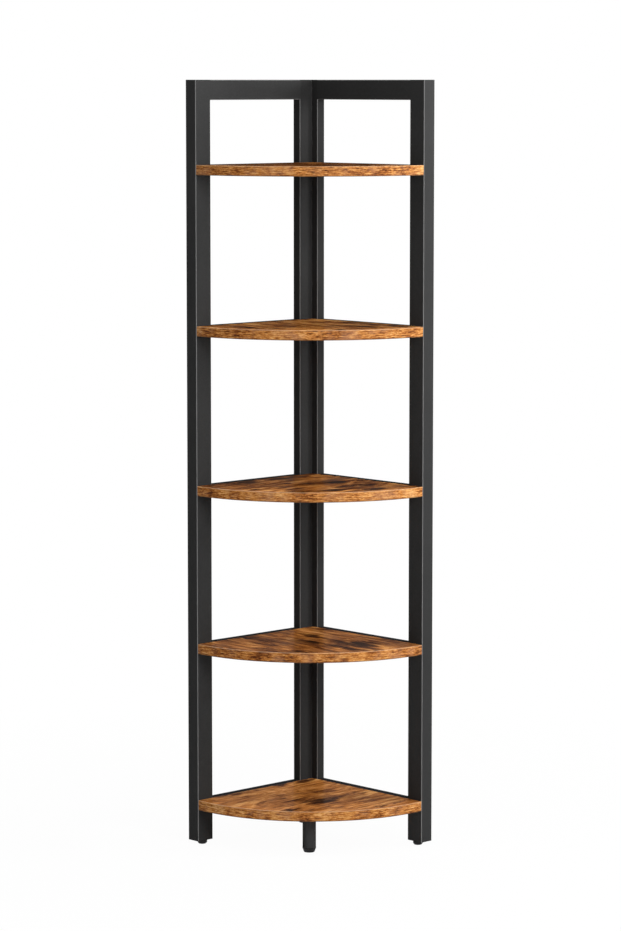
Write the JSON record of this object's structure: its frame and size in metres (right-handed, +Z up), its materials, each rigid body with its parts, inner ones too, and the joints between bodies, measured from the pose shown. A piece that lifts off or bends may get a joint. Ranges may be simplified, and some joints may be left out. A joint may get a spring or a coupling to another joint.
{
  "type": "corner shelf unit",
  "caption": "Tall corner shelf unit: quarter-round wood-look boards between two black steel side frames that meet at a right angle, on levelling feet and a round support leg.",
  "frame": {"origin": "on the floor, under the middle of the square footprint", "axes": "+Z up; one wall of the room's corner stands along -X and the other along +Y, so the open front faces +X and -Y"},
  "size_m": [0.35, 0.35, 1.544],
  "materials": {
    "powder_coated_steel": "matt black powder coat",
    "wood_look_board": "rustic brown wood-look laminate on particle board",
    "wood_look_edge": "rustic brown wood-look edge band",
    "black_plastic": "moulded black plastic",
    "zinc_plated_steel": "bright zinc plating",
    "black_bolt_steel": "blackened steel"
  },
  "bodies": {
    "shelf_unit": {"left_front_upright": "powder_coated_steel", "left_back_upright": "powder_coated_steel", "left_top_rail": "powder_coated_steel", "left_shelf_rail_1": "powder_coated_steel", "left_shelf_rail_2": "powder_coated_steel", "left_shelf_rail_3": "powder_coated_steel", "left_shelf_rail_4": "powder_coated_steel", "left_shelf_rail_5": "powder_coated_steel", "left_front_top_plate": "powder_coated_steel", "left_front_foot_plate": "powder_coated_steel", "left_back_top_plate": "powder_coated_steel", "left_back_foot_plate": "powder_coated_steel", "right_front_upright": "powder_coated_steel", "right_back_upright": "powder_coated_steel", "right_top_rail": "powder_coated_steel", "right_shelf_rail_1": "powder_coated_steel", "right_shelf_rail_2": "powder_coated_steel", "right_shelf_rail_3": "powder_coated_steel", "right_shelf_rail_4": "powder_coated_steel", "right_shelf_rail_5": "powder_coated_steel", "right_front_top_plate": "powder_coated_steel", "right_front_foot_plate": "powder_coated_steel", "right_back_top_plate": "powder_coated_steel", "right_back_foot_plate": "powder_coated_steel", "shelf_board_1": "wood_look_board", "shelf_edge_band_1": "wood_look_edge", "shelf_board_2": "wood_look_board", "shelf_edge_band_2": "wood_look_edge", "shelf_board_3": "wood_look_board", "shelf_edge_band_3": "wood_look_edge", "shelf_board_4": "wood_look_board", "shelf_edge_band_4": "wood_look_edge", "shelf_board_5": "wood_look_board", "shelf_edge_band_5": "wood_look_edge", "foot_weld_nuts": "zinc_plated_steel", "shelf_bolts": "black_bolt_steel", "corner_bolts": "black_bolt_steel", "shelf_bolt_inserts": "zinc_plated_steel", "corner_rivet_nuts": "zinc_plated_steel", "support_leg_tube": "powder_coated_steel", "support_leg_top_plug": "powder_coated_steel", "support_leg_stud": "zinc_plated_steel", "support_leg_insert": "zinc_plated_steel", "support_leg_foot_plug": "black_plastic"},
    "left_front_foot": {"left_front_foot_pad": "black_plastic"},
    "left_front_screw": {"left_front_foot_stud": "zinc_plated_steel"},
    "left_back_foot": {"left_back_foot_pad": "black_plastic"},
    "left_back_screw": {"left_back_foot_stud": "zinc_plated_steel"},
    "right_front_foot": {"right_front_foot_pad": "black_plastic"},
    "right_front_screw": {"right_front_foot_stud": "zinc_plated_steel"},
    "right_back_foot": {"right_back_foot_pad": "black_plastic"},
    "right_back_screw": {"right_back_foot_stud": "zinc_plated_steel"},
    "support_leg_foot": {"support_leg_foot_pad": "black_plastic"},
    "support_leg_screw": {"support_leg_foot_stud": "zinc_plated_steel"}
  },
  "joints": [
    {"name": "left_front_foot_travel", "type": "slide", "parent": "shelf_unit", "child": "left_front_foot", "axis": [0, 0, -1], "range_m": [0, 0.008]},
    {"name": "left_front_foot_turn", "type": "hinge", "parent": "left_front_foot", "child": "left_front_screw", "pos_m": [-0.155, -0.155, 0.004], "axis": [0, 0, -1], "range_deg": [0, 2300]},
    {"name": "left_back_foot_travel", "type": "slide", "parent": "shelf_unit", "child": "left_back_foot", "axis": [0, 0, -1], "range_m": [0, 0.008]},
    {"name": "left_back_foot_turn", "type": "hinge", "parent": "left_back_foot", "child": "left_back_screw", "pos_m": [-0.155, 0.1275, 0.004], "axis": [0, 0, -1], "range_deg": [0, 2300]},
    {"name": "right_front_foot_travel", "type": "slide", "parent": "shelf_unit", "child": "right_front_foot", "axis": [0, 0, -1], "range_m": [0, 0.008]},
    {"name": "right_front_foot_turn", "type": "hinge", "parent": "right_front_foot", "child": "right_front_screw", "pos_m": [0.155, 0.155, 0.004], "axis": [0, 0, -1], "range_deg": [0, 2300]},
    {"name": "right_back_foot_travel", "type": "slide", "parent": "shelf_unit", "child": "right_back_foot", "axis": [0, 0, -1], "range_m": [0, 0.008]},
    {"name": "right_back_foot_turn", "type": "hinge", "parent": "right_back_foot", "child": "right_back_screw", "pos_m": [-0.1475, 0.155, 0.004], "axis": [0, 0, -1], "range_deg": [0, 2300]},
    {"name": "support_leg_foot_travel", "type": "slide", "parent": "shelf_unit", "child": "support_leg_foot", "axis": [0, 0, -1], "range_m": [0, 0.008]},
    {"name": "support_leg_foot_turn", "type": "hinge", "parent": "support_leg_foot", "child": "support_leg_screw", "pos_m": [0.04945, -0.04945, 0.004], "axis": [0, 0, -1], "range_deg": [0, 2300]}
  ],
  "couplings": [
    {"joint": "left_front_foot_travel", "follows": "left_front_foot_turn", "m_per_rad": 0.00019894},
    {"joint": "left_back_foot_travel", "follows": "left_back_foot_turn", "m_per_rad": 0.00019894},
    {"joint": "right_front_foot_travel", "follows": "right_front_foot_turn", "m_per_rad": 0.00019894},
    {"joint": "right_back_foot_travel", "follows": "right_back_foot_turn", "m_per_rad": 0.00019894},
    {"joint": "support_leg_foot_travel", "follows": "support_leg_foot_turn", "m_per_rad": 0.00019894}
  ]
}
